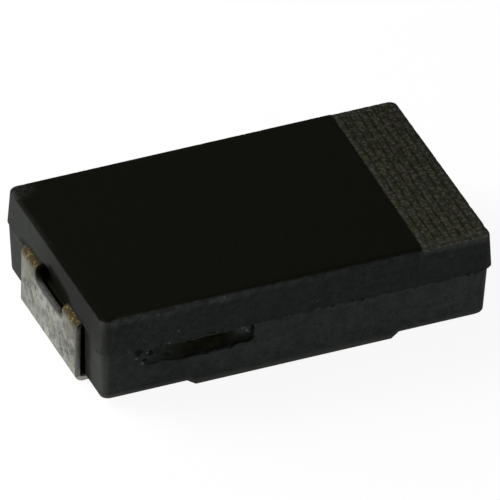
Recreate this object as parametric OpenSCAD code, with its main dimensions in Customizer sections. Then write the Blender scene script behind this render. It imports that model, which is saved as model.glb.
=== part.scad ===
// Moulded chip capacitor: stacked polymer elements on two strips, sealed in resin, with folded leads.
// Millimetres. The origin is on the board plane under the middle of the part.
// +X points to the anode end, which carries the polarity band, and +Z points up from the board.

/* [Case] */
// Length of the upper mould half at the parting plane
case_l = 7.14; // [6.2:0.02:9.0]
// Width of the upper mould half at the parting plane
case_w = 4.3; // [3.6:0.05:6.0]
// Height of the top face above the board
top_z = 1.8; // [1.5:0.05:3.0]
// Height of the upper mould half, from the parting plane to the top face
upper_h = 0.69; // [0.54:0.01:0.9]
// Height of the straight land at the rim of each mould half
land_h = 0.03; // [0.01:0.01:0.08]
// Draft of the upper mould half's walls, in degrees
upper_draft = 2.5; // [0.5:0.5:6]
// Draft of the lower mould half's walls, in degrees
lower_draft = 2.5; // [0.5:0.5:6]
// How much smaller the lower mould half is, on each side
parting_step = 0.035; // [0.02:0.005:0.08]
// How far the lower mould half sits towards the cathode end
mould_shift = 0.02; // [0:0.005:0.03]
// Radius of the upright corners
corner_r = 0.12; // [0.1:0.01:0.4]
// Radius of the top edge
top_edge_r = 0.08; // [0.02:0.01:0.1]
// Radius of the bottom edge
bottom_edge_r = 0.12; // [0.05:0.01:0.2]

/* [Standoff pad] */
// Height of the pad above the board
pad_clear = 0.025; // [0.01:0.005:0.06]
// Gap along the board between a foot's tip and the pad
pad_gap = 0.42; // [0.2:0.02:0.9]
// Length of the slope at each end of the pad
pad_run = 0.15; // [0.05:0.01:0.3]
// Radius of the pad's long edges
pad_edge_r = 0.05; // [0.03:0.01:0.1]

/* [Gate mark] */
// Length of the pocket that the broken gate leaves in the front wall
gate_l = 1.98; // [1:0.02:2.6]
// Height of the pocket
gate_h = 0.33; // [0.15:0.01:0.45]
// Depth of the pocket at its middle
gate_depth = 0.12; // [0.06:0.01:0.18]
// Slant of the pocket's floor, deeper away from the cathode end, in degrees
gate_slant = 2; // [0:0.5:3]
// Distance of the pocket from the cathode end of the case
gate_inset = 0.83; // [0.5:0.01:1.5]
// Distance of the pocket below the parting plane
gate_drop = 0.07; // [0.01:0.01:0.1]
// Radius of the pocket's corners
gate_r = 0.08; // [0.03:0.01:0.14]

/* [Polarity band] */
// Width of the marked band at the anode end of the top, along the middle of the case
band_w = 1.22; // [0.6:0.02:2]
// Slant of the band's inner edge, in degrees
band_slant = 1; // [0:0.1:3]
// Depth that the marking takes off the top face
band_depth = 0.012; // [0.005:0.001:0.03]

/* [Leads] */
// Width of each lead strip
lead_w = 2.45; // [1.8:0.05:3.2]
// Thickness of the strip
lead_t = 0.09; // [0.06:0.01:0.15]
// Inside radius of both folds
bend_r = 0.04; // [0.02:0.01:0.1]
// How far the outer face of each lead stands out from the end of the case
lead_reach = 0.08; // [0.07:0.01:0.2]
// Length of each soldering foot, from the outer face of the lead
foot_l = 1.3; // [0.8:0.05:1.6]
// Width of the window punched in the strip at its first fold
window_w = 1.2; // [0.6:0.05:1.6]
// How far the window reaches down the leg, below the parting plane
window_drop = 0.14; // [0.02:0.01:0.25]
// How far the window, and the pocket behind it, reach into the case
window_in = 0.15; // [0.05:0.01:0.3]
// Radius of the window's lower corners
window_r = 0.15; // [0.02:0.01:0.2]
// How far the pocket behind the window reaches down, below the parting plane
pocket_drop = 0.2; // [0.06:0.01:0.3]
// How far the pocket's roof rises above the strip, from its back to the end of the case
pocket_rise = 0.14; // [0.02:0.01:0.25]
// How far the recess behind each leg reaches into the end of the case
recess_in = 0.1; // [0.05:0.005:0.14]
// How much wider the recess is than the strip, on each side
recess_side = 0.2; // [0.05:0.01:0.3]
// Length of the slope at each side of the recess
recess_run = 0.15; // [0.02:0.01:0.25]
// Gap between the strip and the roof of the recess
recess_over = 0.05; // [0.02:0.01:0.1]
// Gap between a foot and the underside of the case
foot_gap = 0.01; // [0.01:0.01:0.1]

/* [Elements] */
// Number of elements stacked above the strips
upper_count = 2; // [1:1:3]
// Number of elements stacked below the strips
lower_count = 3; // [1:1:4]
// Least thickness of resin over and under the stack
cover = 0.18; // [0.1:0.01:0.25]
// Thickness of resin at each side of the stack
side_cover = 0.4; // [0.25:0.05:0.7]
// Thickness of resin at each end of the stack
end_cover = 0.5; // [0.35:0.05:0.8]
// Thickness of an element's bare foil tab
foil_t = 0.07; // [0.04:0.01:0.1]
// Length of the stretch where the tabs are welded to the anode strip
weld_l = 0.8; // [0.4:0.05:1.2]
// Length over which the tabs close up from the coated plates to the weld
tab_run = 0.7; // [0.4:0.05:1.2]
// Distance that the cathode strip stops short of the end of the coated plates
tongue_gap = 0.3; // [0.1:0.05:0.6]

/* [Hidden] */
// Margin by which a cutting shape passes a face
cut = 0.05;
// Facets around a full circle in blended shapes
round_fn = 32;

parting_z = top_z - upper_h;
underside_z = lead_t + foot_gap;
lead_top = parting_z + lead_t;
fold_r = bend_r + lead_t;
outer_x = case_l / 2 + lead_reach;

upper_in = (upper_h - land_h) * tan(upper_draft);
top_l = case_l - 2 * upper_in;
top_w = case_w - 2 * upper_in;
lower_l = case_l - 2 * parting_step;
lower_w = case_w - 2 * parting_step;
lower_in = (parting_z - land_h - underside_z) * tan(lower_draft);
bottom_l = lower_l - 2 * lower_in;
bottom_w = lower_w - 2 * lower_in;
bottom_r = min(bottom_edge_r, corner_r);
pad_r = min(pad_edge_r, bottom_r);
pad_l = 2 * (outer_x - foot_l - pad_gap);

stack_start = -case_l / 2 + end_cover;
tab_end = case_l / 2 - end_cover;
weld_start = tab_end - weld_l;
plate_end = weld_start - tab_run;
element_w = lower_w - 2 * side_cover;
upper_room = upper_h - lead_t - cover;
lower_room = parting_z - underside_z - cover;
element_t = min(upper_room / upper_count, lower_room / lower_count);

// Children at the four upright corners of a block of length l and width w
module at_corners(l, w) {
    for (sx = [-1, 1], sy = [-1, 1])
        translate([sx * (l / 2 - corner_r), sy * (w / 2 - corner_r), 0])
            children();
}

// Disc of radius r whose rim is rounded by radius e, with its mid-plane at z = 0
module rounded_disc(r, e) {
    rotate_extrude($fn = round_fn)
        intersection() {
            union() {
                translate([r - e, 0]) circle(r = e, $fn = round_fn);
                translate([0, -e]) square([r - e, 2 * e]);
            }
            translate([0, -e]) square([r, 2 * e]);
        }
}

// Flat rectangle of size l by h with rounded corners, centred
module rounded_rectangle(l, h, r) {
    square([l - 2 * r, h], center = true);
    square([l, h - 2 * r], center = true);
    for (sx = [-1, 1], sy = [-1, 1])
        translate([sx * (l / 2 - r), sy * (h / 2 - r)])
            circle(r = r, $fn = round_fn);
}

// Upper mould half, drafted in towards the top face
module upper_half() {
    hull() {
        translate([0, 0, parting_z])
            at_corners(case_l, case_w)
                cylinder(r = corner_r, h = land_h, $fn = round_fn);
        translate([0, 0, top_z - top_edge_r])
            at_corners(top_l, top_w)
                rounded_disc(corner_r, top_edge_r);
    }
}

// Lower mould half, a little smaller, drafted in towards the underside
module lower_half() {
    hull() {
        translate([0, 0, parting_z - land_h])
            at_corners(lower_l, lower_w)
                cylinder(r = corner_r, h = land_h, $fn = round_fn);
        translate([0, 0, underside_z + bottom_r])
            at_corners(bottom_l, bottom_w)
                rounded_disc(corner_r, bottom_r);
    }
}

// Pair of round bars of length l along the pad's long edges, with their axes at height z
module edge_bars(l, z) {
    for (sy = [-1, 1])
        translate([0, sy * (bottom_w / 2 - pad_r), z])
            rotate([0, 90, 0])
                cylinder(r = pad_r, h = l, center = true, $fn = round_fn);
}

// Pad across the middle of the underside, which keeps the case off the board
module standoff_pad() {
    hull() {
        edge_bars(pad_l, underside_z + bottom_r);
        edge_bars(pad_l - 2 * pad_run, pad_clear + pad_r);
    }
}

// Cutting shape of the pocket that the broken gate leaves just below the parting plane
module gate_pocket() {
    translate([
        -case_l / 2 + gate_inset + gate_l / 2,
        gate_depth - lower_w / 2,
        parting_z - gate_drop - gate_h / 2
    ])
        rotate([0, 0, gate_slant])
            rotate([90, 0, 0])
                linear_extrude(height = 3 * gate_depth)
                    rounded_rectangle(gate_l, gate_h, gate_r);
}

// Cutting shape of the marked band along the anode edge of the top
module polarity_band() {
    translate([top_l / 2 - band_w, 0, top_z - band_depth])
        rotate([0, 0, -band_slant])
            translate([0, -case_w, 0])
                cube([2 * band_w, 2 * case_w, band_depth + cut]);
}

// Quarter ring of the strip's section around a fold, in the quadrant towards (sx, sy)
module fold(sx, sy) {
    intersection() {
        difference() {
            circle(r = fold_r, $fn = round_fn);
            circle(r = bend_r, $fn = round_fn);
        }
        translate([sx < 0 ? -fold_r : 0, sy < 0 ? -fold_r : 0])
            square(fold_r);
    }
}

// Side section of a folded strip, drawn at the cathode end: tongue, leg and foot
module lead_section(tongue_end) {
    fold_x = fold_r - outer_x;
    translate([fold_x, parting_z])
        square([tongue_end - fold_x, lead_t]);
    translate([fold_x, lead_top - fold_r])
        fold(-1, 1);
    translate([-outer_x, fold_r])
        square([lead_t, lead_top - 2 * fold_r]);
    translate([fold_x, fold_r])
        fold(-1, -1);
    translate([fold_x, 0])
        square([foot_l - fold_r, lead_t]);
}

// Cutting shape of the window punched through the strip at its first fold
module lead_window() {
    window_h = lead_t + window_drop;
    corner = min(window_r, window_h);
    translate([-outer_x - cut, 0, lead_top - window_h])
        rotate([90, 0, 90])
            linear_extrude(height = cut + lead_reach + window_in) {
                translate([-window_w / 2, corner])
                    square([window_w, window_h + cut - corner]);
                translate([corner - window_w / 2, 0])
                    square([window_w - 2 * corner, window_h + cut]);
                for (s = [-1, 1])
                    translate([s * (window_w / 2 - corner), corner])
                        circle(r = corner, $fn = round_fn);
            }
}

// Side section of the space under the pocket's roof, which rises towards the end of the case
module pocket_section() {
    low = parting_z - pocket_drop - cut;
    back = window_in - case_l / 2;
    polygon([
        [-outer_x - cut, low],
        [back + cut, low],
        [back + cut, lead_top - cut * pocket_rise / window_in],
        [-case_l / 2, lead_top + pocket_rise],
        [-outer_x - cut, lead_top + pocket_rise]
    ]);
}

// Cutting shape of the pocket that the mould keeps clear of resin behind the window
module lead_pocket() {
    pocket_h = pocket_drop + lead_t + pocket_rise;
    intersection() {
        translate([-outer_x, 0, parting_z - pocket_drop + pocket_h / 2])
            rotate([90, 0, 90])
                linear_extrude(height = lead_reach + window_in)
                    rounded_rectangle(window_w, pocket_h, min(window_r, pocket_h / 3));
        rotate([90, 0, 0])
            linear_extrude(height = 2 * window_w, center = true)
                pocket_section();
    }
}

// Cutting shape of the shallow recess in the end wall that a leg stands in
module lead_recess() {
    half = lead_w / 2 + recess_side;
    translate([-case_l / 2, 0, 0])
        linear_extrude(height = lead_top + recess_over)
            polygon([
                [-cut, -half],
                [0, -half],
                [recess_in, recess_run - half],
                [recess_in, half - recess_run],
                [0, half],
                [-cut, half]
            ]);
}

// Everything that the mould keeps clear around the cathode end's lead
module lead_room() {
    lead_recess();
    lead_pocket();
}

// Folded and windowed strip at the cathode end, with its tongue ending at tongue_end
module folded_lead(tongue_end) {
    difference() {
        rotate([90, 0, 0])
            linear_extrude(height = lead_w, center = true)
                lead_section(tongue_end);
        lead_window();
    }
}

// Section of one element: a coated plate, then a bare tab that closes up to the anode strip.
// side is 1 above the strips and -1 below them, and level counts outwards from the strips.
module element_section(side, level) {
    base = side > 0 ? lead_top : parting_z;
    inner = base + side * level * element_t;
    outer = inner + side * element_t;
    tab_half = side * foil_t / 2;
    tab_at_plate = base + side * (level + 0.5) * element_t;
    tab_at_weld = base + side * (level + 0.5) * foil_t;
    polygon([
        [stack_start, inner],
        [stack_start, outer],
        [plate_end, outer],
        [plate_end, tab_at_plate + tab_half],
        [weld_start, tab_at_weld + tab_half],
        [tab_end, tab_at_weld + tab_half],
        [tab_end, tab_at_weld - tab_half],
        [weld_start, tab_at_weld - tab_half],
        [plate_end, tab_at_plate - tab_half],
        [plate_end, inner]
    ]);
}

// One capacitor element of the stack
module element(side, level) {
    color("darkgray")
        rotate([90, 0, 0])
            linear_extrude(height = element_w, center = true)
                element_section(side, level);
}

// Strip that the coated plates are bonded to
module cathode_lead() {
    color("silver")
        folded_lead(plate_end - tongue_gap);
}

// Strip that the bare tabs are welded to
module anode_lead() {
    color("silver")
        mirror([1, 0, 0])
            folded_lead(-weld_start);
}

// Resin moulding, filled exactly around the strips and the stack
module moulded_case() {
    color([0.11, 0.115, 0.11])
        difference() {
            union() {
                upper_half();
                translate([-mould_shift, 0, 0]) {
                    lower_half();
                    standoff_pad();
                }
            }
            translate([-mould_shift, 0, 0]) gate_pocket();
            polarity_band();
            lead_room();
            mirror([1, 0, 0]) lead_room();
            cathode_lead();
            anode_lead();
            for (i = [1 : upper_count]) element(1, i - 1);
            for (i = [1 : lower_count]) element(-1, i - 1);
        }
}

moulded_case();
cathode_lead();
anode_lead();
for (i = [1 : upper_count])
    element(1, i - 1);
for (i = [1 : lower_count])
    element(-1, i - 1);
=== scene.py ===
"""Looks of a moulded chip capacitor: resin case, two folded tinned leads and foil elements inside."""
import logging
import math
from contextlib import contextmanager
from dataclasses import dataclass
from enum import Enum
from functools import reduce
from typing import Any, Callable, Iterator, Optional, Union

import bmesh
import bpy
from mathutils import Matrix, Vector, noise


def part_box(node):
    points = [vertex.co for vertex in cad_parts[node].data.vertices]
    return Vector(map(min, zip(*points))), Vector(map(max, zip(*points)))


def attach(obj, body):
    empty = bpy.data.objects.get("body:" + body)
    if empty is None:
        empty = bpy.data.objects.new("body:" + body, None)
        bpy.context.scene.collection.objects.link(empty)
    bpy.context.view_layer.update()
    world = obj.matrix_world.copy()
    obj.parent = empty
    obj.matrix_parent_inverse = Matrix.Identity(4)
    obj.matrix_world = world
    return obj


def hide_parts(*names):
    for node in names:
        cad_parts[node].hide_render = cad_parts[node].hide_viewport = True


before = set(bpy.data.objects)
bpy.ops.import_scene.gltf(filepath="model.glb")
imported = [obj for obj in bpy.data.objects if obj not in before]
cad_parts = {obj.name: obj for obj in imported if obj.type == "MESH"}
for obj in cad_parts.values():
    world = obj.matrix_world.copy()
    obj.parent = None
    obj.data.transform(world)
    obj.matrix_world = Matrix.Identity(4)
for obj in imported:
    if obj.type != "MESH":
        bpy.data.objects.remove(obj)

LOG = logging.getLogger("capacitor")
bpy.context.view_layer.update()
BODY = "root"
MM = 0.001
TINY = 1e-4
ELEMENT_TAB = 1.5
SEEN_RAYS = ("Is Camera Ray", "Is Glossy Ray", "Is Transmission Ray")
X, Y, Z = range(3)
OCTAVE_SHARE = 0.6
DOT_EDGE = (0.35, 0.1)
WALL_EDGE = (0.2, 0.12)
Weigh = Callable[[Vector], float]
Test = Callable[[Any], bool]
Colour = tuple[float, float, float]
Spots = tuple[tuple[float, float, float], ...]


class Pick(Enum):
    """Kinds of mesh element that can be selected in edit mode."""

    POINT = "VERT"
    EDGE = "EDGE"
    FACE = "FACE"


class Push(Enum):
    """Directions in which a displacement moves the points of a mesh."""

    ACROSS = "Y"
    UP = "Z"
    OUT = "NORMAL"


class Slot(Enum):
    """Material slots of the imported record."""

    RESIN = "resin"
    TIN = "tin_plate"


def box_mm(node: str) -> tuple[Vector, Vector]:
    """Gives a CAD node's lowest and highest corners in millimetres."""
    low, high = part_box(node)
    return low / MM, high / MM


def ramp(value: float, start: float, end: float) -> float:
    """Gives a smooth rise from 0 at start to 1 at end."""
    share = min(max((value - start) / (end - start), 0.0), 1.0)
    return share * share * (3 - 2 * share)


def rough(point: Vector, grain: float, seed: float = 0.0) -> float:
    """Gives smooth noise between about -1 and 1, with features of the grain's size in millimetres."""
    return noise.noise(point / grain + Vector((seed, -seed, 2 * seed)))


def span(edge: Any, axis: int) -> float:
    """Gives how far an edge runs along an axis."""
    return abs(edge.verts[0].co[axis] - edge.verts[1].co[axis])


def centre(edge: Any, axis: int) -> float:
    """Gives the middle of an edge along an axis."""
    return (edge.verts[0].co[axis] + edge.verts[1].co[axis]) / 2


def element_nodes() -> list[tuple[str, bpy.types.Object]]:
    """Gives the names and objects of the foil elements' CAD nodes, in order."""
    return sorted(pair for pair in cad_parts.items() if "element" in pair[0])


class Workpiece:
    """One mesh on the bench, shaped with Blender's operators, in millimetres until it is finished."""

    def __init__(self, body: bpy.types.Object, name: str) -> None:
        """Takes an object onto the bench, with its place moved into its mesh.

        Args:
            body: The mesh object.
            name: Its new name.
        """
        self.body = body
        self.body.name = name
        self.body.data.name = name
        self.activate()
        bpy.ops.object.transform_apply(location=True, rotation=True, scale=True)

    @classmethod
    def plate(cls, name: str, size: Vector, middle: Vector, turn: float = 0.0) -> "Workpiece":
        """Starts from a flat rectangle.

        Args:
            name: Name of the piece.
            size: Size along the three axes, after the turn.
            middle: Centre of the rectangle.
            turn: Angle about the Y axis that stands the rectangle up, in radians.

        Returns:
            The piece.
        """
        bpy.ops.object.select_all(action="DESELECT")
        bpy.ops.mesh.primitive_plane_add(size=1, location=middle, rotation=(0, turn, 0))
        piece = cls(bpy.context.object, name)
        with piece.editing():
            bpy.ops.transform.resize(value=size)
        return piece

    @classmethod
    def block(cls, name: str, low: Vector, high: Vector) -> "Workpiece":
        """Starts from a box between two corners.

        Args:
            name: Name of the piece.
            low: Lowest corner.
            high: Highest corner.

        Returns:
            The piece.
        """
        bpy.ops.object.select_all(action="DESELECT")
        bpy.ops.mesh.primitive_cube_add(size=1, location=(low + high) / 2)
        piece = cls(bpy.context.object, name)
        with piece.editing():
            bpy.ops.transform.resize(value=high - low)
        return piece

    @classmethod
    def copy_of(cls, source: bpy.types.Object, name: str, scale: float = 1.0) -> "Workpiece":
        """Starts from a merged copy of another object's mesh.

        Args:
            source: The object that is copied and left as it is.
            name: Name of the piece.
            scale: Factor from the source's units to millimetres.

        Returns:
            The piece.
        """
        body = bpy.data.objects.new(name, source.data.copy())
        bpy.context.scene.collection.objects.link(body)
        body.scale = (scale, scale, scale)
        piece = cls(body, name)
        with piece.editing():
            piece.weld()
        return piece

    def activate(self) -> None:
        """Makes this piece the only selected and the active object."""
        bpy.ops.object.select_all(action="DESELECT")
        self.body.select_set(True)
        bpy.context.view_layer.objects.active = self.body

    @contextmanager
    def editing(self) -> Iterator[None]:
        """Opens edit mode with everything selected, and closes it again."""
        self.activate()
        bpy.ops.object.mode_set(mode="EDIT")
        bpy.ops.mesh.select_all(action="SELECT")
        yield
        bpy.ops.object.mode_set(mode="OBJECT")

    def pick(self, kind: Pick, test: Test) -> None:
        """Selects the elements that pass a test, in edit mode.

        Args:
            kind: Kind of element.
            test: Test that takes a vertex, an edge or a face.
        """
        bpy.ops.mesh.select_mode(type=kind.value)
        bpy.ops.mesh.select_all(action="DESELECT")
        mesh = bmesh.from_edit_mesh(self.body.data)
        elements = {Pick.POINT: mesh.verts, Pick.EDGE: mesh.edges, Pick.FACE: mesh.faces}[kind]
        for element in elements:
            if test(element):
                element.select_set(True)
        bmesh.update_edit_mesh(self.body.data)

    def weld(self) -> None:
        """Merges doubled points and turns all faces outwards, in edit mode."""
        bpy.ops.mesh.select_all(action="SELECT")
        bpy.ops.mesh.remove_doubles(threshold=TINY)
        bpy.ops.mesh.normals_make_consistent(inside=False)

    def divide_edges(self, test: Test, cuts: int) -> None:
        """Divides the edges that pass a test, in edit mode."""
        self.pick(Pick.EDGE, test)
        bpy.ops.mesh.subdivide(number_cuts=cuts)

    def round_edges(self, test: Test, radius: float, steps: int) -> None:
        """Rounds the edges that pass a test, in edit mode."""
        self.pick(Pick.EDGE, test)
        bpy.ops.mesh.bevel(offset=radius, segments=steps, affect="EDGES")

    def modify(self, kind: str, **settings: Any) -> None:
        """Puts a modifier on the piece and applies it.

        Args:
            kind: The modifier's type.
            settings: Its settings, by name.
        """
        modifier = self.body.modifiers.new(kind, kind)
        for name, setting in settings.items():
            setattr(modifier, name, setting)
        self.activate()
        bpy.ops.object.modifier_apply(modifier=modifier.name)

    def remesh(self, size: float) -> None:
        """Rebuilds the mesh as one even skin with faces of a size."""
        self.modify("REMESH", mode="VOXEL", voxel_size=size)

    def displace(self, weigh: Weigh, reach: float, push: Push = Push.OUT) -> None:
        """Moves points by a painted weight.

        Args:
            weigh: Function that gives each point's weight, from 0 to 1.
            reach: How far a point of weight 1 moves.
            push: Direction of the move.
        """
        group = self.body.vertex_groups.new(name="pressed")
        for vertex in self.body.data.vertices:
            weight = weigh(vertex.co)
            if weight > 0:
                group.add([vertex.index], min(weight, 1.0), "REPLACE")
        aim = push.value
        self.modify("DISPLACE", vertex_group=group.name, direction=aim, mid_level=0, strength=reach)
        self.body.vertex_groups.clear()

    def cut(self, tool: "Workpiece", keep_tool: bool = False) -> None:
        """Cuts another piece's shape out of this one.

        Args:
            tool: The piece that cuts.
            keep_tool: Whether the cutting piece is kept.
        """
        self.modify("BOOLEAN", operation="DIFFERENCE", solver="MANIFOLD", object=tool.body)
        if not keep_tool:
            bpy.data.objects.remove(tool.body)

    def finish(self, finish: bpy.types.Material, slot: Slot, node: str, smooth: float) -> None:
        """Brings the piece to metres, dresses it and puts it in its CAD node's place.

        Args:
            finish: Material of the piece.
            slot: Record slot that the finish belongs to; not used.
            node: CAD node that the piece stands for.
            smooth: Angle below which edges are shaded smooth, in radians.
        """
        self.body.scale = (MM, MM, MM)
        self.activate()
        bpy.ops.object.transform_apply(location=True, rotation=True, scale=True)
        bpy.ops.object.shade_smooth_by_angle(angle=smooth)
        self.body.data.materials.clear()
        self.body.data.materials.append(finish)
        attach(self.body, BODY)
        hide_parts(node)
        LOG.info("%s: %d faces, stands for %s", self.body.name, len(self.body.data.polygons), node)


class Sock:
    """A shader value: an expression on it adds Math nodes to its graph."""

    def __init__(self, graph: "Graph", socket: bpy.types.NodeSocket) -> None:
        """Wraps an output socket of a graph."""
        self.graph = graph
        self.socket = socket

    def math(self, operation: str, first: Any, second: Any = 0.0) -> "Sock":
        """Adds one Math node and gives its result."""
        return self.graph.node("ShaderNodeMath", {"operation": operation}, {0: first, 1: second})

    def __add__(self, other: Any) -> "Sock":
        """Adds."""
        return self.math("ADD", self, other)

    __radd__ = __add__

    def __sub__(self, other: Any) -> "Sock":
        """Subtracts."""
        return self.math("SUBTRACT", self, other)

    def __rsub__(self, other: Any) -> "Sock":
        """Subtracts from a number."""
        return self.math("SUBTRACT", other, self)

    def __mul__(self, other: Any) -> "Sock":
        """Multiplies."""
        return self.math("MULTIPLY", self, other)

    __rmul__ = __mul__

    def __truediv__(self, other: Any) -> "Sock":
        """Divides."""
        return self.math("DIVIDE", self, other)

    def __abs__(self) -> "Sock":
        """Gives the size without its sign."""
        return self.math("ABSOLUTE", self)

    def larger(self, other: Any) -> "Sock":
        """Gives the larger of two values."""
        return self.math("MAXIMUM", self, other)

    def smaller(self, other: Any) -> "Sock":
        """Gives the smaller of two values."""
        return self.math("MINIMUM", self, other)

    def ramp(self, start: float, end: float) -> "Sock":
        """Gives a smooth mask that is 0 at start and 1 at end.

        Args:
            start: Value at which the mask is 0.
            end: Value at which the mask is 1.

        Returns:
            The mask.
        """
        values = {"Value": self, "From Min": min(start, end), "From Max": max(start, end)}
        rise = self.graph.node("ShaderNodeMapRange", {"interpolation_type": "SMOOTHSTEP"}, values)
        return rise if start < end else 1 - rise


Value = Union[Sock, float, tuple]


class Graph:
    """The node tree of a material or of the world, with the place on the piece in millimetres."""

    def __init__(self, owner: bpy.types.ID) -> None:
        """Empties the owner's tree and reads the place.

        Args:
            owner: The material or the world.
        """
        self.owner = owner
        self.owner.use_nodes = True
        self.tree = self.owner.node_tree
        self.tree.nodes.clear()
        place = self.node("ShaderNodeTexCoord", {}, {}, "Object")
        inputs = {0: place, "Scale": 1 / MM}
        self.place = self.node("ShaderNodeVectorMath", {"operation": "SCALE"}, inputs)
        self.x, self.y, self.z = (self.axis(name) for name in "XYZ")

    def axis(self, name: str) -> Sock:
        """Gives one coordinate of the place, in millimetres."""
        return self.node("ShaderNodeSeparateXYZ", {}, {0: self.place}, name)

    def node(
        self, kind: str, settings: dict[str, Any], values: dict[Any, Value], output: Union[int, str] = 0
    ) -> Sock:
        """Adds a node.

        Args:
            kind: The node's type.
            settings: Settings of the node.
            values: Values or sockets for its inputs, by name or number.
            output: Name or number of the output that is wanted.

        Returns:
            That output.
        """
        node = self.tree.nodes.new(kind)
        for name, setting in settings.items():
            setattr(node, name, setting)
        for name, value in values.items():
            socket = node.inputs[name]
            if isinstance(value, Sock):
                self.tree.links.new(value.socket, socket)
            else:
                socket.default_value = (*value, 1) if socket.type == "RGBA" else value
        return Sock(self, node.outputs[output])

    def grain(self, size: float, detail: float = 2.0, stretch: Optional[tuple] = None) -> Sock:
        """Gives noise around 0.5.

        Args:
            size: Size of its features, in millimetres.
            detail: Number of finer octaves.
            stretch: Factors along the axes, where the noise isn't the same in all directions.

        Returns:
            The noise.
        """
        place = self.place
        if stretch:
            place = self.node("ShaderNodeVectorMath", {"operation": "MULTIPLY"}, {0: place, 1: stretch})
        values = {"Vector": place, "Scale": 1 / size, "Detail": detail, "Roughness": OCTAVE_SHARE}
        return self.node("ShaderNodeTexNoise", {}, values)

    def specks(self, size: float, output: str = "Distance") -> Sock:
        """Gives the nearest scattered point's distance or random colour, at a spacing in millimetres."""
        values = {"Vector": self.place, "Scale": 1 / size}
        return self.node("ShaderNodeTexVoronoi", {}, values, output)

    def flecks(self, size: float, share: float) -> Sock:
        """Gives a mask of small round dots, on a share of random places at a spacing in millimetres."""
        chance = self.node("ShaderNodeSeparateColor", {}, {0: self.specks(size, "Color")}, "Red")
        return self.specks(size).ramp(*DOT_EDGE) * chance.ramp(0.99 - share, 1.01 - share)

    def blend(self, share: Value, first: Value, second: Value) -> Sock:
        """Mixes two colours, by the share of the second."""
        return self.node("ShaderNodeMix", {"data_type": "RGBA"}, {0: share, 6: first, 7: second}, 2)

    def tint(self, colour: Value, level: Sock) -> Sock:
        """Multiplies a colour by a level."""
        return self.node("ShaderNodeVectorMath", {"operation": "SCALE"}, {0: colour, "Scale": level})

    def bump(self, height: Sock, depth: float) -> Sock:
        """Gives the normal of a relief, whose height of 1 stands for a depth in millimetres."""
        values = {"Height": height, "Distance": depth * MM, "Strength": 1.0}
        return self.node("ShaderNodeBump", {}, values, "Normal")

    def surface(self, values: dict[Any, Value]) -> bpy.types.Material:
        """Closes the tree with a Principled shader, by its inputs' values or sockets."""
        return self.output(self.node("ShaderNodeBsdfPrincipled", {}, values))

    def seen(self) -> Sock:
        """Gives 1 to the rays that the eye follows, also by mirrors and glass, and 0 to other light."""
        rays = [self.node("ShaderNodeLightPath", {}, {}, name) for name in SEEN_RAYS]
        return reduce(Sock.larger, rays)

    def output(self, shader: Sock) -> bpy.types.ID:
        """Closes the tree with a shader.

        Args:
            shader: The shader.

        Returns:
            The material or the world.
        """
        kind = "World" if isinstance(self.owner, bpy.types.World) else "Material"
        end = self.tree.nodes.new("ShaderNodeOutput" + kind)
        self.tree.links.new(shader.socket, end.inputs["Surface"])
        return self.owner


@dataclass
class FoldedLeads:
    """The two tinned strips: a tongue in the case, a punched window at the fold, a leg and a foot."""

    strip_t: float = 0.09
    bend_r: float = 0.04
    foot_l: float = 1.3
    window_w: float = 1.2
    window_drop: float = 0.18
    window_in: float = 0.15
    window_r: float = 0.15
    window_steps: int = 6
    edge_r: float = 0.008
    edge_steps: int = 2
    edge_angle: float = 50.0
    fold_steps: int = 12
    smooth: float = 40.0

    def __post_init__(self) -> None:
        """Reads the strips' reach, width and height from the CAD nodes."""
        low, high = box_mm("cathode_lead")
        self.outer_x = -low.x
        self.width = high.y - low.y
        self.top = high.z
        self.parting = self.top - self.strip_t
        self.fold_r = self.bend_r + self.strip_t
        self.tongues = {"cathode_lead": high.x, "anode_lead": -box_mm("anode_lead")[0].x}

    def window(self, case_end: float) -> Workpiece:
        """Shapes the punch of the window at the first fold.

        Args:
            case_end: Distance of the case's end from the middle.

        Returns:
            The cutting piece.
        """
        half = self.window_w / 2
        low = Vector((-self.outer_x - self.strip_t, -half, self.parting - self.window_drop))
        high = Vector((self.window_in - case_end, half, self.top + 2 * self.window_r))
        punch = Workpiece.block("window_punch", low, high)
        with punch.editing():
            corners = self.window_r, self.window_steps
            punch.round_edges(lambda edge: span(edge, X) > self.strip_t, *corners)
        return punch

    def strip(self, node: str, case_end: float) -> Workpiece:
        """Folds one strip at the cathode end, from its tongue to its foot.

        Args:
            node: CAD node that the strip stands for.
            case_end: Distance of the case's end from the middle.

        Returns:
            The folded strip.
        """
        start = Vector((self.tongues[node], 0, self.top - self.strip_t / 2))
        section = Vector((1, self.width, self.strip_t))
        fold_x = self.fold_r - self.outer_x
        piece = Workpiece.plate(node + "_strip", section, start, math.pi / 2)
        moves = (
            (fold_x - start.x, 0, 0),
            (0, 0, 2 * self.fold_r - self.top),
            (self.foot_l - self.fold_r, 0, 0),
        )
        centres = ((fold_x, 0, self.top - self.fold_r), (fold_x, 0, self.fold_r))
        with piece.editing():
            for place, move in enumerate(moves):
                bpy.ops.mesh.extrude_region_move(TRANSFORM_OT_translate={"value": move})
                if place < len(centres):
                    bpy.ops.mesh.spin(
                        steps=self.fold_steps, angle=math.pi / 2, center=centres[place], axis=(0, 1, 0)
                    )
            piece.weld()
        piece.cut(self.window(case_end))
        piece.modify(
            "BEVEL",
            width=self.edge_r,
            segments=self.edge_steps,
            limit_method="ANGLE",
            angle_limit=math.radians(self.edge_angle),
            use_clamp_overlap=False,
        )
        return piece

    def build(self, case_end: float) -> dict[str, Workpiece]:
        """Makes both strips.

        Args:
            case_end: Distance of the case's end from the middle.

        Returns:
            The strips by the CAD nodes that they stand for.
        """
        strips = {node: self.strip(node, case_end) for node in self.tongues}
        anode = strips["anode_lead"]
        with anode.editing():
            bpy.ops.transform.resize(value=(-1, 1, 1), center_override=(0, 0, 0))
            anode.weld()
        return strips


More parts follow.
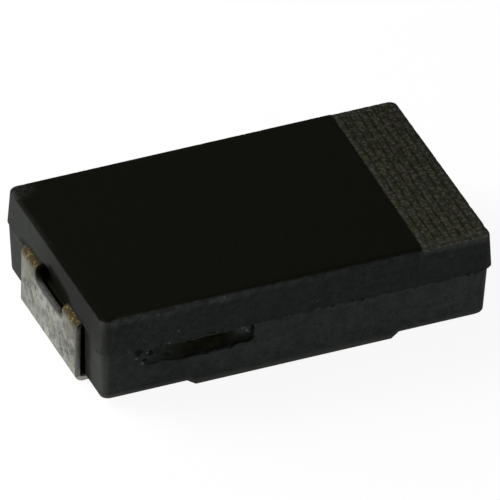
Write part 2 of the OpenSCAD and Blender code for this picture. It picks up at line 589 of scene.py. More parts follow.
@dataclass(frozen=True)
class Ring:
    """One level outline of the case: its height, its length and width, and the place of its middle."""

    z: float
    length: float
    width: float
    x: float


@dataclass
class ResinCase:
    """The moulding: two drafted halves, a standoff pad, a gate scar, a marked band and lead pockets."""

    parting: float
    land: float = 0.03
    draft: float = 2.5
    step: float = 0.035
    shift: float = 0.02
    corner_r: float = 0.12
    top_r: float = 0.08
    bottom_r: float = 0.12
    underside: float = 0.1
    pad_l: float = 3.86
    pad_run: float = 0.15
    pad_r: float = 0.05
    band_w: float = 1.235
    band_slant: float = 1.0
    band_depth: float = 0.012
    gate_l: float = 1.98
    gate_h: float = 0.33
    gate_depth: float = 0.12
    gate_inset: float = 0.83
    gate_drop: float = 0.07
    gate_r: float = 0.08
    gate_slope: float = 0.09
    gate_under: float = 0.05
    gate_swell: float = 0.06
    gate_bite: float = 0.05
    fade_share: float = 0.2
    rise_share: float = 0.62
    stub_share: float = 0.74
    gate_grain: float = 0.02
    gate_fine: float = 0.012
    pits: Spots = ((-2.875, 1.0, 0.1), (-2.65, 0.93, 0.07), (-2.76, 0.8, 0.05))
    pit_depth: float = 0.05
    pocket_drop: float = 0.2
    pocket_rise: float = 0.14
    pocket_r: float = 0.26
    recess_in: float = 0.1
    recess_side: float = 0.2
    recess_run: float = 0.15
    recess_over: float = 0.025
    line_gap: float = 0.148
    line_depth: float = 0.012
    chip_depth: float = 0.014
    flash_reach: float = 0.02
    notch_depth: float = 0.03
    spacing: float = 0.026
    band_spacing: float = 0.0128
    across_spacing: float = 0.086
    long_edge: float = 0.1
    tall_edge: float = 0.3
    wall_cuts: int = 14
    arc_steps: int = 5
    smooth: float = 35.0

    def __post_init__(self) -> None:
        """Reads the case's outer sizes from its CAD node."""
        low, high = box_mm("moulded_case")
        self.length = high.x - low.x
        self.width = high.y - low.y
        self.top = high.z
        self.pad_z = low.z
        self.slope = math.tan(math.radians(self.draft))
        self.top_in = self.slope * (self.top - self.parting - self.land)
        self.band_x = self.length / 2 - self.top_in - self.band_w
        self.band_lean = math.tan(math.radians(self.band_slant))
        self.gate_wall = self.step - self.width / 2
        self.gate_start = self.gate_inset - self.length / 2 - self.shift
        self.gate_roof = self.parting - self.gate_drop
        self.turns = [math.pi / 2 * step / self.arc_steps for step in range(self.arc_steps + 1)]

    def rings(self) -> list[Ring]:
        """Works out the outlines from the underside to the top face.

        Returns:
            The outlines, from the lowest to the highest.
        """
        lower_in = self.slope * (self.parting - self.land - self.underside)
        levels = []
        for turn in self.turns:
            inset = self.step + lower_in + self.bottom_r * (1 - math.sin(turn))
            levels.append((self.underside + self.bottom_r * (1 - math.cos(turn)), inset, -self.shift))
        levels.append((self.parting - self.land, self.step, -self.shift))
        levels.append((self.parting, self.step, -self.shift))
        levels.append((self.parting, 0.0, 0.0))
        levels.append((self.parting + self.land, 0.0, 0.0))
        for turn in self.turns:
            inset = self.top_in + self.top_r * (1 - math.cos(turn))
            levels.append((self.top - self.top_r * (1 - math.sin(turn)), inset, 0.0))
        return [Ring(z, self.length - 2 * inset, self.width - 2 * inset, x) for z, inset, x in levels]

    def walls(self, rings: list[Ring]) -> Workpiece:
        """Raises the walls, ring by ring, from a rounded outline.

        Args:
            rings: The outlines.

        Returns:
            The open walls.
        """
        first = rings[0]
        size = Vector((first.length, first.width, 1))
        piece = Workpiece.plate("resin_case", size, Vector((first.x, 0, first.z)))
        with piece.editing():
            bpy.ops.mesh.bevel(offset=self.corner_r, segments=self.arc_steps, affect="VERTICES")
            bpy.ops.mesh.select_all(action="SELECT")
            bpy.ops.mesh.delete(type="ONLY_FACE")
            bpy.ops.mesh.select_mode(type="EDGE")
            bpy.ops.mesh.select_all(action="SELECT")
            for below, ring in zip(rings, rings[1:]):
                move = (ring.x - below.x, 0, ring.z - below.z)
                grow = (ring.length / below.length, ring.width / below.width, 1)
                bpy.ops.mesh.extrude_region_move(TRANSFORM_OT_translate={"value": move})
                bpy.ops.transform.resize(value=grow)
        return piece

    def lower_pad(self, piece: Workpiece, rings: list[Ring]) -> list[float]:
        """Cuts the walls at the pad's ends and at the band, and lowers the pad.

        Args:
            piece: The walls.
            rings: The outlines.

        Returns:
            The places of the cuts along the middle of the case.
        """
        half = self.pad_l / 2
        pad = [-half, self.pad_run - half, half - self.pad_run, half]
        pad = [place - self.shift for place in pad]
        planes = [(place, (1, 0, 0)) for place in pad]
        planes.append((self.band_x, (1, -self.band_lean, 0)))
        with piece.editing():
            for place, normal in planes:
                bpy.ops.mesh.select_all(action="SELECT")
                bpy.ops.mesh.bisect(plane_co=(place, 0, 0), plane_no=normal)
            wall_w = rings[self.arc_steps].width
            for ring, turn in zip(rings, self.turns):
                piece.pick(
                    Pick.POINT,
                    lambda point: pad[1] - TINY < point.co.x < pad[2] + TINY
                    and abs(point.co.z - ring.z) < TINY,
                )
                level = self.pad_z + self.pad_r * (1 - math.cos(turn))
                width = wall_w - 2 * self.pad_r * (1 - math.sin(turn))
                bpy.ops.transform.translate(value=(0, 0, level - ring.z))
                bpy.ops.transform.resize(value=(1, width / ring.width, 1), center_override=(0, 0, 0))
        return [place for place, normal in planes]

    def divide(self, piece: Workpiece, breaks: list[float]) -> int:
        """Divides the walls into a fine mesh.

        Args:
            piece: The walls.
            breaks: The places of the cuts along the case.

        Returns:
            The number of faces across the straight part of each end.
        """
        ends = [-self.length, *sorted(breaks), self.length]
        across = round(self.width / self.across_spacing)
        with piece.editing():
            for start, end in zip(ends, ends[1:]):
                room = min(end, self.length / 2) - max(start, -self.length / 2)
                fine = self.band_spacing if start >= self.band_x else self.spacing
                piece.divide_edges(
                    lambda edge: span(edge, X) > self.long_edge
                    and span(edge, Y) < TINY
                    and start < centre(edge, X) < end,
                    max(round(room / fine) - 1, 1),
                )
            piece.divide_edges(
                lambda edge: span(edge, Y) > self.long_edge and span(edge, X) < TINY,
                across - 1,
            )
            for sign in (-1, 1):
                piece.divide_edges(
                    lambda edge: span(edge, Z) > self.tall_edge
                    and sign * (centre(edge, Z) - self.parting) > 0,
                    self.wall_cuts,
                )
        return across

    def close(self, piece: Workpiece, across: int, rings: list[Ring]) -> None:
        """Closes the top and the underside with a fine grid.

        Args:
            piece: The walls.
            across: Number of faces across the straight part of each end.
            rings: The outlines.
        """
        with piece.editing():
            for ring, sign in ((rings[0], -1), (rings[-1], 1)):
                corner = self.corner_r * ring.width / rings[0].width
                straight = ring.width / 2 - corner
                piece.pick(
                    Pick.EDGE,
                    lambda edge: edge.is_boundary
                    and sign * (centre(edge, Z) - self.parting) > 0
                    and abs(centre(edge, Y)) > straight,
                )
                bpy.ops.mesh.bridge_edge_loops()
                piece.divide_edges(lambda edge: span(edge, Y) > self.width / 2, across - 1)
            piece.weld()

    def inside(self, point: Vector) -> float:
        """Gives how far a point lies inside the upper half's outline at the parting plane.

        Args:
            point: The point.

        Returns:
            The distance, negative outside.
        """
        over_x = abs(point.x) - self.length / 2 + self.corner_r
        over_y = abs(point.y) - self.width / 2 + self.corner_r
        corner = math.hypot(max(over_x, 0), max(over_y, 0))
        return self.corner_r - corner - min(max(over_x, over_y), 0)

    def chip_edges(self, piece: Workpiece) -> None:
        """Chips the edge of the top face and leaves ragged flash at the parting line.

        Args:
            piece: The moulding.
        """

        def chips(point: Vector) -> float:
            """Weighs the chips along the top edge.

            Args:
                point: The point.

            Returns:
                Its weight.
            """
            if point.z < self.top - 2 * self.top_r:
                return 0.0
            rim = 1 - ramp(self.inside(point) - self.top_in, 0.02, 0.07)
            front = 0.3 + 0.7 * ramp(point.y, 0, -self.width / 2)
            return rim * front * ramp(rough(point, 0.09) + 0.6 * rough(point, 0.04, 3), 0.1, 0.8)

        def flash(point: Vector) -> float:
            """Weighs the flash on the lower half's rim.

            Args:
                point: The point.

            Returns:
                Its weight.
            """
            on_rim = abs(point.z - self.parting) < TINY and self.inside(point) > self.step / 4
            if not on_rim:
                return 0.0
            return 0.8 * rough(point, 0.2, 5) + 0.9 * rough(point, 0.055, 7)

        def notches(point: Vector) -> float:
            """Weighs the pits in the upper half's rim."""
            on_rim = abs(point.z - self.parting) < TINY and self.inside(point) < self.step / 4
            return ramp(rough(point, 0.09, 9), 0.25, 0.7) if on_rim else 0.0

        piece.displace(chips, -self.chip_depth)
        piece.displace(flash, self.flash_reach)
        piece.displace(notches, -self.notch_depth)

    def mark_band(self, piece: Workpiece) -> None:
        """Sinks the marked band a little and burns broken lines into it.

        Args:
            piece: The moulding.
        """

        def band(point: Vector) -> float:
            """Weighs the band's floor."""
            place = point.x - self.band_lean * point.y
            return float(place > self.band_x + TINY and point.z > self.top - self.top_r / 2)

        def lines(point: Vector) -> float:
            """Weighs the burnt lines and the grain between them.

            Args:
                point: The point.

            Returns:
                Its weight.
            """
            if not band(point):
                return 0.0
            wander = 0.012 * rough(Vector((point.x, point.y, 0)), 0.35, 11)
            phase = (point.x - self.band_lean * point.y - self.band_x + wander) / self.line_gap
            groove = ramp(abs(phase - round(phase)), 0.24, 0.06)
            broken = ramp(rough(point, 0.14, 13) + 0.6 * rough(point, 0.05, 15), -0.1, 0.45)
            return 0.7 * groove * broken + 0.9 * max(rough(point, 0.055, 17), 0)

        piece.displace(band, -self.band_depth, Push.UP)
        piece.displace(lines, -self.line_depth, Push.UP)

    def pit_wall(self, piece: Workpiece) -> None:
        """Presses the small pits beside the gate into the front wall.

        Args:
            piece: The moulding.
        """

        def pitted(point: Vector) -> float:
            """Weighs the nearest pit.

            Args:
                point: The point.

            Returns:
                Its weight.
            """
            if point.y > self.step + 0.1 - self.width / 2:
                return 0.0
            reach = [math.hypot(point.x - x, point.z - z) / size for x, z, size in self.pits]
            return ramp(min(reach), 1, 0.3)

        piece.displace(pitted, self.pit_depth, Push.ACROSS)

    def gate_tool(self) -> Workpiece:
        """Shapes the ragged pocket that the broken gate leaves in the front wall.

        Returns:
            The cutting piece.
        """
        wall = self.gate_wall
        roof = self.gate_roof
        low = Vector((self.gate_start, wall - self.gate_depth, roof - self.gate_h))
        high = Vector((self.gate_start + self.gate_l, wall + self.gate_depth, roof))
        tool = Workpiece.block("gate_tool", low, high)
        with tool.editing():
            tool.round_edges(lambda edge: span(edge, Y) > self.gate_depth, self.gate_r, self.arc_steps)
        tool.remesh(self.gate_grain)

        def shallow(point: Vector) -> float:
            """Weighs how much the floor rises towards the cathode end."""
            return ramp(point.x, low.x + 0.9, low.x + 0.3) if point.y > wall else 0.0

        def stub(point: Vector) -> float:
            """Weighs the broken stub of resin left at the anode end of the floor."""
            near = ramp(abs(point.x - high.x + 0.18), 0.22, 0.12)
            return near * ramp(point.z, roof - 0.26, roof - 0.16) if point.y > wall else 0.0

        def under(point: Vector) -> float:
            """Weighs the part of the lower side that is broken further down.

            Args:
                point: The point.

            Returns:
                Its weight.
            """
            low_side = ramp(point.z, low.z + self.gate_h / 2, low.z + self.gate_h / 4)
            low_side *= ramp(point.x, low.x + 0.2, low.x + 0.7)
            return low_side * ramp(point.x, high.x - 0.15, high.x - 0.5)

        def roof_slope(point: Vector) -> float:
            """Weighs the roof, which slopes down from the wall to the floor.

            Args:
                point: The point.

            Returns:
                Its weight.
            """
            upper = ramp(point.z, high.z - self.gate_h / 2, high.z - self.gate_h / 4)
            middle = ramp(point.x, low.x + 0.45, low.x + 0.75)
            middle *= ramp(point.x, high.x - 0.35, high.x - 0.55)
            return upper * middle * ramp(point.y, wall - 0.01, wall + 0.09)

        def fade(point: Vector) -> float:
            """Weighs the cathode end of the floor, which runs out to the wall."""
            return ramp(point.x, low.x + 0.4, low.x + 0.05) if point.y > wall else 0.0

        tool.displace(roof_slope, -self.gate_slope, Push.UP)
        tool.displace(fade, -self.fade_share * self.gate_depth, Push.ACROSS)
        tool.displace(under, -self.gate_under, Push.UP)
        tool.displace(shallow, -self.rise_share * self.gate_depth, Push.ACROSS)
        tool.displace(stub, -self.stub_share * self.gate_depth, Push.ACROSS)
        tool.displace(lambda point: 0.5 + 0.5 * rough(point, 0.16, 19), self.gate_swell)
        tool.displace(lambda point: 0.5 + 0.6 * rough(point, 0.06, 23), -self.gate_bite)
        tool.remesh(self.gate_fine)
        return tool

    def recess_tool(self, leads: FoldedLeads, sign: int) -> Workpiece:
        """Shapes the shallow recess in the end wall that a lead's leg stands in.

        Args:
            leads: The leads.
            sign: -1 at the cathode end and 1 at the anode end.

        Returns:
            The cutting piece.
        """
        floor = sign * (self.length / 2 - self.recess_in)
        ends = sorted((floor, floor + 2 * sign * self.recess_in))
        half = leads.width / 2 + self.recess_side + self.recess_run
        low = Vector((ends[0], -half, -self.pad_z))
        high = Vector((ends[1], half, leads.top + self.recess_over))
        tool = Workpiece.block("recess_tool", low, high)
        with tool.editing():
            tool.pick(Pick.POINT, lambda point: sign * (point.co.x - floor) < TINY)
            narrow = (half - 2 * self.recess_run) / half
            bpy.ops.transform.resize(value=(1, narrow, 1))
        return tool

    def pocket_tool(self, leads: FoldedLeads, sign: int) -> Workpiece:
        """Shapes the pocket that stays clear behind a lead's window.

        Args:
            leads: The leads.
            sign: -1 at the cathode end and 1 at the anode end.

        Returns:
            The cutting piece.
        """
        back = sign * (self.length / 2 - leads.window_in)
        ends = sorted((sign * leads.outer_x, back))
        low = Vector((ends[0], -leads.window_w / 2, self.parting - self.pocket_drop))
        high = Vector((ends[1], leads.window_w / 2, leads.top + self.pocket_rise))
        tool = Workpiece.block("pocket_tool", low, high)
        with tool.editing():
            for sign_z, radius in ((-1, leads.window_r), (1, self.pocket_r)):
                tool.round_edges(
                    lambda edge: span(edge, X) > leads.strip_t
                    and sign_z * (centre(edge, Z) - leads.parting) > self.pocket_drop / 2,
                    radius,
                    leads.window_steps,
                )
            bpy.ops.mesh.select_all(action="SELECT")
            bpy.ops.mesh.bisect(
                plane_co=(back, 0, leads.top),
                plane_no=(-sign * self.pocket_rise, 0, leads.window_in),
                clear_outer=True,
                use_fill=True,
            )
            tool.weld()
        return tool

    def build(self, leads: FoldedLeads, fillings: list[Workpiece]) -> Workpiece:
        """Makes the whole moulding.

        Args:
            leads: The leads, for the pockets behind their windows.
            fillings: The pieces that the resin surrounds, which are kept.

        Returns:
            The moulding.
        """
        rings = self.rings()
        piece = self.walls(rings)
        breaks = self.lower_pad(piece, rings)
        across = self.divide(piece, breaks)
        self.close(piece, across, rings)
        self.chip_edges(piece)
        self.mark_band(piece)
        self.pit_wall(piece)
        piece.cut(self.gate_tool())
        for sign in (-1, 1):
            piece.cut(self.recess_tool(leads, sign))
            piece.cut(self.pocket_tool(leads, sign))
        for filling in fillings:
            piece.cut(filling, keep_tool=True)
        return piece


class ResinGround:
    """What the resin's colours start from: the graph, noises, distances in millimetres and masks."""

    def __init__(self, case: ResinCase, leads: FoldedLeads, fine: float, mottle: float) -> None:
        """Sets out the noises, distances and masks.

        Args:
            case: The case, for the places of its field, band and gate.
            leads: The leads, for the places of the recesses.
            fine: Size of the fine noise's features.
            mottle: Size of the coarser noise's features.
        """
        self.case = case
        self.leads = leads
        self.graph = Graph(bpy.data.materials.new("resin"))
        self.fine = self.graph.grain(fine, 2)
        self.mottle = self.graph.grain(mottle, 3)
        self.from_left = self.graph.x + case.length / 2
        self.from_end = case.length / 2 - abs(self.graph.x)
        self.from_front = self.graph.y + case.width / 2
        self.from_top = case.top - self.graph.z
        self.from_band = self.graph.x - case.band_lean * self.graph.y - case.band_x
        self.front = self.from_front.ramp(*WALL_EDGE)
        self.end = self.from_end.ramp(*WALL_EDGE)


@dataclass(frozen=True)
class ResinFinish:
    """Matt black filled resin: speckled walls, a smooth black top field and a burnt band."""

    wall: Colour = (0.0186, 0.0214, 0.0203)
    # Lighter copy of the wall colour for the end walls: painted light.
    end: Colour = (0.0225, 0.0239, 0.0224)
    field: Colour = (0.0035, 0.0038, 0.0022)
    mark: Colour = (0.0238, 0.0251, 0.0186)
    burnt: Colour = (0.0256, 0.0238, 0.0184)
    groove: Colour = (0.0066, 0.0072, 0.001)
    fringe: Colour = (0.05, 0.053, 0.05)
    # Painted light of the floor's bounce on the front's lower edge.
    painted_bounce_light: Colour = (0.1, 0.102, 0.09)
    fleck: Colour = (0.13, 0.137, 0.13)
    scar: Colour = (0.0078, 0.0084, 0.0044)
    shade: Colour = (0.0016, 0.0016, 0.0005)
    soil: Colour = (0.0168, 0.0162, 0.0142)
    roughness: float = 0.8
    gloss: float = 0.01
    relief: float = 0.005
    fine: float = 0.045
    mottle: float = 0.12
    granule: float = 0.072
    speck: float = 0.07
    # Lines that bound the painted shade above each lead's window.
    shade_arch: tuple[tuple[float, float], ...] = ((-0.61, 0.14), (0.09, 0.14), (0.35, -0.35))
    glints: Spots = (
        (-2.707, 0.945, 0.03), (-2.915, 0.877, 0.03), (-2.802, 0.746, 0.035), (-2.322, 1.057, 0.025),
        (-0.972, 1.0, 0.04), (-0.905, 0.94, 0.03), (-2.172, 1.286, 0.025), (2.37, 1.74, 0.034),
    )

    def material(self, case: ResinCase, leads: FoldedLeads) -> bpy.types.Material:
        """Makes the resin's material.

        Args:
            case: The case, for the places of its field, band and gate.
            leads: The leads, for the places of the recesses.

        Returns:
            The material.
        """
        on = ResinGround(case, leads, self.fine, self.mottle)
        graph = on.graph
        wall = self.gate(on, self.walls(on))
        # Painted shade around the leads' legs and in the pockets behind their windows.
        wall = graph.blend(self.recess(on), wall, self.shade)
        plain = on.from_band.ramp(0.004, -0.004)
        smooth = self.field_mask(on) * plain
        soiled = on.from_top.ramp(0.03, 0.005) * graph.x.ramp(0, -1)
        skin = graph.blend(soiled * 0.7, wall, self.soil)
        skin = graph.blend(smooth, skin, self.top_field(on))
        on_band = on.from_top.ramp(0.07, 0.05) * (1 - plain)
        lines = self.lines(on)
        granules = graph.specks(self.granule).ramp(0.65, 0.1)
        relief = on.fine + 0.6 * on.mottle + on_band * (0.6 * granules - 0.4 * lines)
        return graph.surface({
            "Base Color": graph.blend(on_band, skin, self.band(on, lines, granules)),
            "Roughness": self.roughness,
            "Specular IOR Level": self.gloss,
            "Normal": graph.bump(relief * (1 - 0.8 * smooth), self.relief),
        })

    def wall_level(self, on: ResinGround, lower: Sock) -> Sock:
        """Gives how light the walls are, by their grain and tone, and by painted light and shade on the
        front and ends.

        Args:
            on: The resin's ground.
            lower: Mask of the lower mould half.

        Returns:
            The level.
        """
        graph, case = on.graph, on.case
        # The lower front is lighter: partly the lower half's own tone, partly painted light of the
        # floor's bounce.
        lower_tone_and_bounce = 0.14 + 0.45 * graph.x.ramp(1 - case.length / 2, -case.length / 9)
        lower_tone_and_bounce = lower_tone_and_bounce + 0.2 * graph.x.ramp(1.2, case.length / 2) + 0.15 * graph.z.ramp(0.9, 0.4)
        grain = 0.9 * (on.fine - 0.5) + 0.9 * (on.mottle - 0.5) + 0.4 * (graph.grain(0.4) - 0.5)
        level = (1 + grain * (1 - 0.55 * on.end)) * (1 + lower_tone_and_bounce * on.front * lower)
        # Painted highlight on the front's vertical corners.
        corner = on.from_front.ramp(0.2, 0.05) * on.from_end.ramp(0.17, 0.07)
        # Painted shade on the end walls' upper part towards the front, painted light on their lower
        # part.
        far = graph.y.ramp(0.2, 0.8)
        low = far * lower + (1 - far) * graph.z.ramp(case.parting + 0.25, case.parting - 0.25)
        upper_end_shade = 0.14 * graph.y.ramp(-1.5, -1.85) - 0.4 * graph.y.ramp(1.2, -0.6)
        lower_end_light = 0.26 - 0.12 * graph.y.ramp(-0.5, -1.7) + 0.18 * graph.y.ramp(-1.7, -1.95)
        return level * (1 + 0.4 * corner + on.end * (low * lower_end_light + (1 - low) * upper_end_shade))

    def walls(self, on: ResinGround) -> Sock:
        """Gives the colour of the walls, with the seam, the front's worn top and painted bounce light on
        its lower edge.

        Args:
            on: The resin's ground.

        Returns:
            The colour.
        """
        graph, case = on.graph, on.case
        seam = graph.z - case.parting + 0.25 * (graph.grain(0.09, 3) - 0.5)
        seam = seam + 0.065 * on.front * on.from_left.ramp(0, 1)
        level = self.wall_level(on, seam.ramp(0.008, -0.008))
        # The end walls take their lighter colour, which is painted light; the level adds painted light
        # and shade.
        colour = graph.tint(graph.blend(on.end, self.wall, self.end), level)
        colour = graph.blend(0.3 * graph.flecks(self.speck, 0.02), colour, self.fleck)
        light = abs(seam + 0.025).ramp(0.035, 0.01) * on.mottle.ramp(0.45, 0.62) * on.front
        left = graph.x.ramp(1, -1.5)
        edge = (on.from_top - 0.06 * (on.mottle - 0.5)).ramp(0.19, 0.08) * on.front
        marked = graph.x.ramp(case.band_x - 0.1, case.band_x + 0.05)
        worn = edge * (0.2 * left + 0.55 * marked + (0.12 + 0.2 * left) * on.mottle.ramp(0.48, 0.62))
        colour = graph.blend((0.3 * light).larger(worn), colour, self.fringe)
        colour = graph.blend(0.3 * edge * graph.flecks(self.speck, 0.1), colour, self.fleck)
        # Painted bounce light from the floor along the front's lower edge.
        pad = abs(graph.x + case.shift).ramp(case.pad_l / 2, case.pad_l / 2 - case.pad_run)
        height = graph.z - case.underside + (case.underside - case.pad_z) * pad
        colour = graph.blend(0.8 * on.front * height.ramp(0.18, 0.0), colour, self.painted_bounce_light)
        pits = abs(seam - 0.004).ramp(0.022, 0.008) * graph.grain(0.12, 1).ramp(0.55, 0.62)
        crack = abs(graph.z - case.parting + 0.012).ramp(0.016, 0.004) * on.end * graph.y.ramp(0.6, 1.2)
        return graph.blend((0.85 * pits).larger(0.5 * crack), colour, self.shade)

    def field_mask(self, on: ResinGround) -> Sock:
        """Gives the mask of the smooth top, which is bare at one corner and along the cathode edge.

        Args:
            on: The resin's ground.

        Returns:
            The mask.
        """
        side_x = on.from_left - on.case.top_in
        side_y = on.case.width / 2 - on.case.top_in - on.graph.y
        rise = 0.02 * (on.fine - 0.5) + 0.005 * on.front * on.graph.x + 0.032 * side_x.ramp(0.3, 0.1)
        bare = (side_x * side_x + side_y * side_y).ramp(0.3, 0.02)
        bare = bare * (0.3 + 0.7 * on.graph.grain(0.09, 3).ramp(0.4, 0.6))
        margin = side_x.ramp(0.1, 0.02) * on.graph.y.ramp(-0.2, 1)
        return (on.from_top - rise).ramp(0.045, 0.01) * (1 - bare.larger(0.2 * margin))

    def top_field(self, on: ResinGround) -> Sock:
        """Gives the colour of the smooth top, lighter over the front edge and darker over the left one.

        Args:
            on: The resin's ground.

        Returns:
            The colour.
        """
        specks = 0.6 * on.graph.flecks(self.speck, 0.04) - 0.5 * on.graph.flecks(0.09, 0.02)
        edge = on.from_top.ramp(0.001, 0.014) * (1.1 * on.front - 0.5 * on.from_left.ramp(0.3, 0.1))
        return on.graph.tint(self.field, (0.4 + 1.2 * on.fine + specks) * (1 + edge))

    def band(self, on: ResinGround, lines: Sock, granules: Sock) -> Sock:
        """Gives the colour of the marked band, which is grainy and crossed by dark lines.

        Args:
            on: The resin's ground.
            lines: Mask of the lines.
            granules: Mask of the grains.

        Returns:
            The colour.
        """
        graph = on.graph
        level = 0.7 + 0.95 * granules + 1.5 * (on.fine - 0.5) + 0.8 * (on.mottle - 0.5) - 0.05 * graph.y
        level = level + 0.3 * on.from_band.ramp(0.12, 0.06) + 0.25 * on.from_front.ramp(0.24, 0.14)
        rim = on.front.larger(on.end) * on.from_top.ramp(0.02, 0.055)
        hue = graph.blend(graph.grain(0.3, 1).ramp(0.45, 0.62), self.mark, self.burnt)
        colour = graph.tint(hue, level.larger(0.2) * (1 + 1.1 * rim))
        return graph.blend(0.9 * lines, colour, self.groove)

    def lines(self, on: ResinGround) -> Sock:
        """Gives the mask of the broken dark lines that the marking leaves in the band.

        Args:
            on: The resin's ground.

        Returns:
            The mask.
        """
        wander = 0.05 * (on.graph.grain(0.14, 1) - 0.5)
        phase = (on.from_band - 0.012 + wander) * (2 * math.pi / on.case.line_gap)
        broken = on.graph.grain(0.09, 2, (1, 0.6, 1)).ramp(0.36, 0.58)
        sides = (on.case.width / 2 - abs(on.graph.y)).ramp(0.12, 0.22) * on.from_end.ramp(0.14, 0.2)
        return phase.math("COSINE", phase).ramp(0.4, 0.95) * (0.4 + 0.6 * broken) * sides

    def gate(self, on: ResinGround, wall: Sock) -> Sock:
        """Gives the walls' colour with the gate's scar, its dark broken resin deepened by painted shade,
        painted shade in pits, and glints.

        Args:
            on: The resin's ground.
            wall: Colour of the walls.

        Returns:
            The colour.
        """
        graph, case = on.graph, on.case
        depth = graph.y - case.gate_wall
        under = case.gate_roof - graph.z
        along = graph.x - case.gate_start
        rest = case.gate_l - along
        near = depth.ramp(3 * case.gate_depth, 2 * case.gate_depth)
        near = near * under.ramp(case.gate_h + 0.1, case.gate_h) * under.ramp(-0.1, 0)
        # The scar is the broken resin's own dark tone, deepened towards the pocket's depth as painted
        # shade.
        sunk = (depth + 0.03 * (on.fine - 0.5) + 0.04 * under.ramp(0.2, 0.3)).ramp(0.01, 0.1)
        middle = along.ramp(0.3, 0.9) * rest.ramp(0.3, 0.5)
        within = along.ramp(-0.1, 0.05) * rest.ramp(-0.1, 0)
        scar = graph.tint(self.scar, 0.2 + 1.6 * graph.grain(0.13, 3))
        colour = graph.blend(sunk * near * within * (0.62 + 0.38 * middle), wall, scar)
        stub = abs(rest - 0.17).ramp(0.14, 0.06) * near * under.ramp(0.2, 0.1)
        front = depth.ramp(0.1, 0.08)
        # Painted shade in the pits beside the gate.
        colour = graph.blend(0.65 * front * self.spots(on, case.pits), colour, self.shade)
        bright = (front * self.spots(on, self.glints)).larger(stub * graph.flecks(0.06, 0.5))
        return graph.blend(0.45 * bright, colour, self.fleck)

    def spots(self, on: ResinGround, places: Spots) -> Sock:
        """Gives the mask of single ragged spots on the front wall.

        Args:
            on: The resin's ground.
            places: Each spot's place along the wall, its height and its size.

        Returns:
            The mask.
        """
        masks = []
        for x, z, size in places:
            over_x = on.graph.x - x
            over_z = on.graph.z - z
            reach = (over_x * over_x + over_z * over_z) / size ** 2 + 1.2 * (on.fine - 0.5)
            masks.append(reach.ramp(0.9, 0.25))
        return reduce(Sock.larger, masks)

    def recess(self, on: ResinGround) -> Sock:
        """Gives the mask of painted shade around a lead's leg and in the pocket above its window.

        Args:
            on: The resin's ground.

        Returns:
            The mask.
        """
        graph, case, leads = on.graph, on.case, on.leads
        # Painted shade above and beside the leg, above the window and deep in the pocket, less on its
        # floor.
        height = graph.z - leads.top - case.recess_over
        side = abs(graph.y) - leads.width / 2
        above = height.ramp(0.12, 0) * side.ramp(0.25, 0.05) * graph.y.ramp(1.3, 0.9)
        beside = side - 0.015 - 0.06 * graph.z.ramp(0.5, 0.85)
        gap = height.ramp(0.02, -0.03) * beside.ramp(0.43, 0.2) * graph.y.ramp(0.6, -0.6)
        shade_arch = 0.24 + reduce(Sock.smaller, [slope * (graph.y - place) for slope, place in self.shade_arch])
        shade_arch = (shade_arch - height).ramp(-0.08, 0.06) * abs(graph.y + 0.05).ramp(0.85, 0.6)
        deep = on.from_end.ramp(0.01, 0.04) * height.ramp(0.2, 0.12)
        deep = deep * (abs(graph.y) - leads.window_w / 2).ramp(0.03, 0)
        floor = (case.parting - graph.z).ramp(0.12, 0.18) * on.from_end.ramp(0.13, 0.03)
        pocket = on.from_end.ramp(leads.window_in + 0.03, leads.window_in) * (0.96 - 0.8 * floor)
        return (on.end * (0.45 * above).larger(0.76 * gap)).larger(shade_arch.larger(deep) * pocket)


